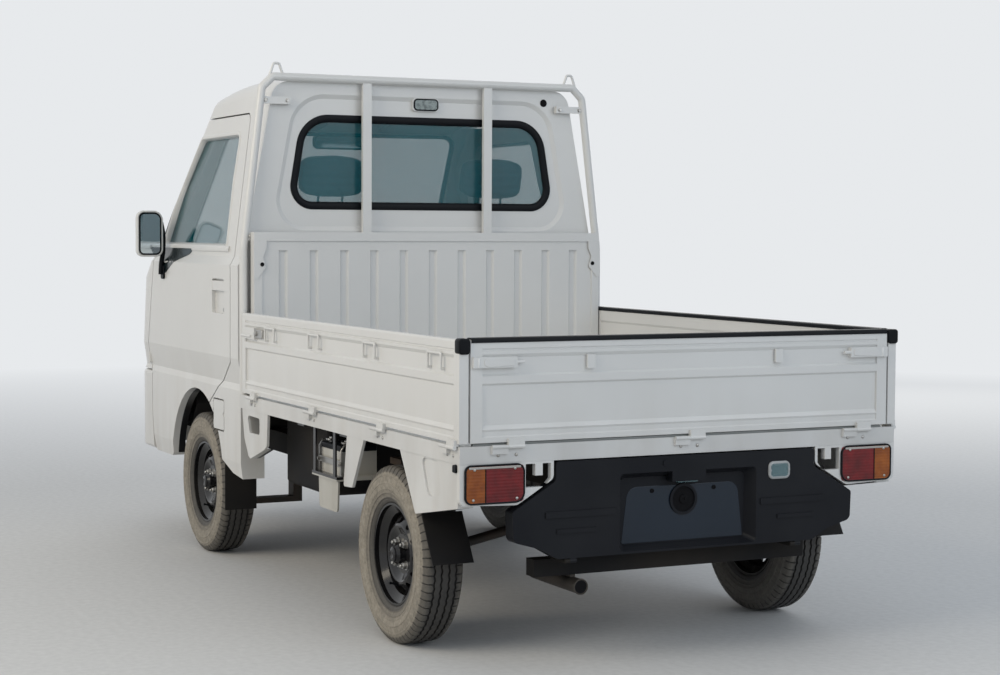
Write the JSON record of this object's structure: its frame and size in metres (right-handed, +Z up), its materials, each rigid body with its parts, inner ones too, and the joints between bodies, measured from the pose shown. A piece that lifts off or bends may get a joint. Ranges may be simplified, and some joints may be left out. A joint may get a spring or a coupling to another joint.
{
  "type": "kei truck",
  "caption": "Small cab-over pickup with a dropside load bed, tube guard frame behind the cab and a drop-down rear engine skirt.",
  "frame": {"origin": "on the ground, at mid-length and mid-width", "axes": "+X forward, +Y to the vehicle's left, +Z up"},
  "size_m": [3.395, 1.708, 1.853],
  "materials": {
    "body_paint": "gloss white paint",
    "chassis_paint": "satin black paint",
    "wheel_paint": "gloss black paint",
    "tyre_rubber": "matt rubber",
    "flap_rubber": "matt rubber",
    "window_glass": "clear tinted glass",
    "lamp_glass": "clear lens",
    "lamp_lens": "red and amber lens",
    "skirt_plastic": "satin black moulded plastic",
    "cabin_plastic": "grained grey plastic",
    "mirror_plastic": "pale moulded shell",
    "seat_fabric": "blue grey cloth",
    "engine_metal": "cast metal",
    "hub_steel": "dark steel",
    "battery_plastic": "moulded case",
    "exhaust_steel": "dull steel"
  },
  "bodies": {
    "chassis": {"ladder_frame": "chassis_paint", "cab_floor": "body_paint", "cab_front_panel": "body_paint", "cab_roof": "body_paint", "cab_rear_wall": "body_paint", "cab_side_left": "body_paint", "cab_side_right": "body_paint", "front_bumper": "body_paint", "headlamps": "lamp_glass", "cab_glass": "window_glass", "dashboard": "cabin_plastic", "seats": "seat_fabric", "bed_floor": "body_paint", "headboard": "body_paint", "guard_frame": "body_paint", "rear_lamp_panels": "body_paint", "tail_lamps": "lamp_lens", "engine_block": "engine_metal", "fuel_tank": "chassis_paint", "battery_tray": "battery_plastic", "exhaust": "exhaust_steel", "mud_flaps": "flap_rubber", "suspension": "hub_steel"},
    "left_door": {"door_left": "body_paint", "door_glass_left": "window_glass", "mirror_left": "mirror_plastic"},
    "right_door": {"door_right": "body_paint", "door_glass_right": "window_glass", "mirror_right": "mirror_plastic"},
    "left_gate": {"gate_left": "body_paint"},
    "right_gate": {"gate_right": "body_paint"},
    "rear_gate": {"tailgate": "body_paint"},
    "rear_skirt": {"engine_lid": "skirt_plastic"},
    "filler_lid": {"fuel_lid": "body_paint"},
    "left_knuckle": {"knuckle_left": "hub_steel"},
    "right_knuckle": {"knuckle_right": "hub_steel"},
    "hand_wheel": {"steering_wheel": "cabin_plastic"},
    "wheel_front_left": {"rim_front_left": "wheel_paint", "tyre_front_left": "tyre_rubber"},
    "wheel_front_right": {"rim_front_right": "wheel_paint", "tyre_front_right": "tyre_rubber"},
    "wheel_rear_left": {"rim_rear_left": "wheel_paint", "tyre_rear_left": "tyre_rubber"},
    "wheel_rear_right": {"rim_rear_right": "wheel_paint", "tyre_rear_right": "tyre_rubber"}
  },
  "joints": [
    {"name": "door_left_hinge", "type": "hinge", "parent": "chassis", "child": "left_door", "pos_m": [1.407, 0.729, 0.708], "axis": [0, 0, -1], "range_deg": [0, 65]},
    {"name": "door_right_hinge", "type": "hinge", "parent": "chassis", "child": "right_door", "pos_m": [1.407, -0.729, 0.708], "axis": [0, 0, 1], "range_deg": [0, 65]},
    {"name": "gate_left_hinge", "type": "hinge", "parent": "chassis", "child": "left_gate", "pos_m": [-0.75, 0.743, 0.652], "axis": [-1, 0, 0], "range_deg": [0, 175]},
    {"name": "gate_right_hinge", "type": "hinge", "parent": "chassis", "child": "right_gate", "pos_m": [-0.75, -0.743, 0.652], "axis": [1, 0, 0], "range_deg": [0, 175]},
    {"name": "tailgate_hinge", "type": "hinge", "parent": "chassis", "child": "rear_gate", "pos_m": [-1.6915, 0, 0.652], "axis": [0, -1, 0], "range_deg": [0, 175]},
    {"name": "engine_lid_hinge", "type": "hinge", "parent": "chassis", "child": "rear_skirt", "pos_m": [-1.684, 0, 0.318], "axis": [0, 1, 0], "range_deg": [-75, 0]},
    {"name": "fuel_lid_hinge", "type": "hinge", "parent": "chassis", "child": "filler_lid", "pos_m": [0.552, 0.723, 0.5575], "axis": [0, 0, -1], "range_deg": [0, 85]},
    {"name": "steer_left", "type": "hinge", "parent": "chassis", "child": "left_knuckle", "pos_m": [0.779, 0.594, 0.2], "axis": [0, -0.2089, 0.9779], "range_deg": [-33, 33]},
    {"name": "steer_right", "type": "hinge", "parent": "chassis", "child": "right_knuckle", "pos_m": [0.779, -0.594, 0.2], "axis": [0, 0.2089, 0.9779], "range_deg": [-33, 33]},
    {"name": "steering_wheel_turn", "type": "hinge", "parent": "chassis", "child": "hand_wheel", "pos_m": [1.15, -0.33, 1.075], "axis": [-0.881, 0, 0.4731], "range_deg": [-495, 495]},
    {"name": "wheel_front_left_spin", "type": "hinge", "parent": "left_knuckle", "child": "wheel_front_left", "pos_m": [0.779, 0.635, 0.27], "axis": [0, 1, 0], "continuous": true},
    {"name": "wheel_front_right_spin", "type": "hinge", "parent": "right_knuckle", "child": "wheel_front_right", "pos_m": [0.779, -0.635, 0.27], "axis": [0, 1, 0], "continuous": true},
    {"name": "wheel_rear_left_spin", "type": "hinge", "parent": "chassis", "child": "wheel_rear_left", "pos_m": [-1.107, 0.635, 0.27], "axis": [0, 1, 0], "continuous": true},
    {"name": "wheel_rear_right_spin", "type": "hinge", "parent": "chassis", "child": "wheel_rear_right", "pos_m": [-1.107, -0.635, 0.27], "axis": [0, 1, 0], "continuous": true}
  ],
  "couplings": [
    {"joint": "steer_right", "follows": "steer_left", "ratio": 1},
    {"joint": "steering_wheel_turn", "follows": "steer_left", "ratio": 15}
  ]
}
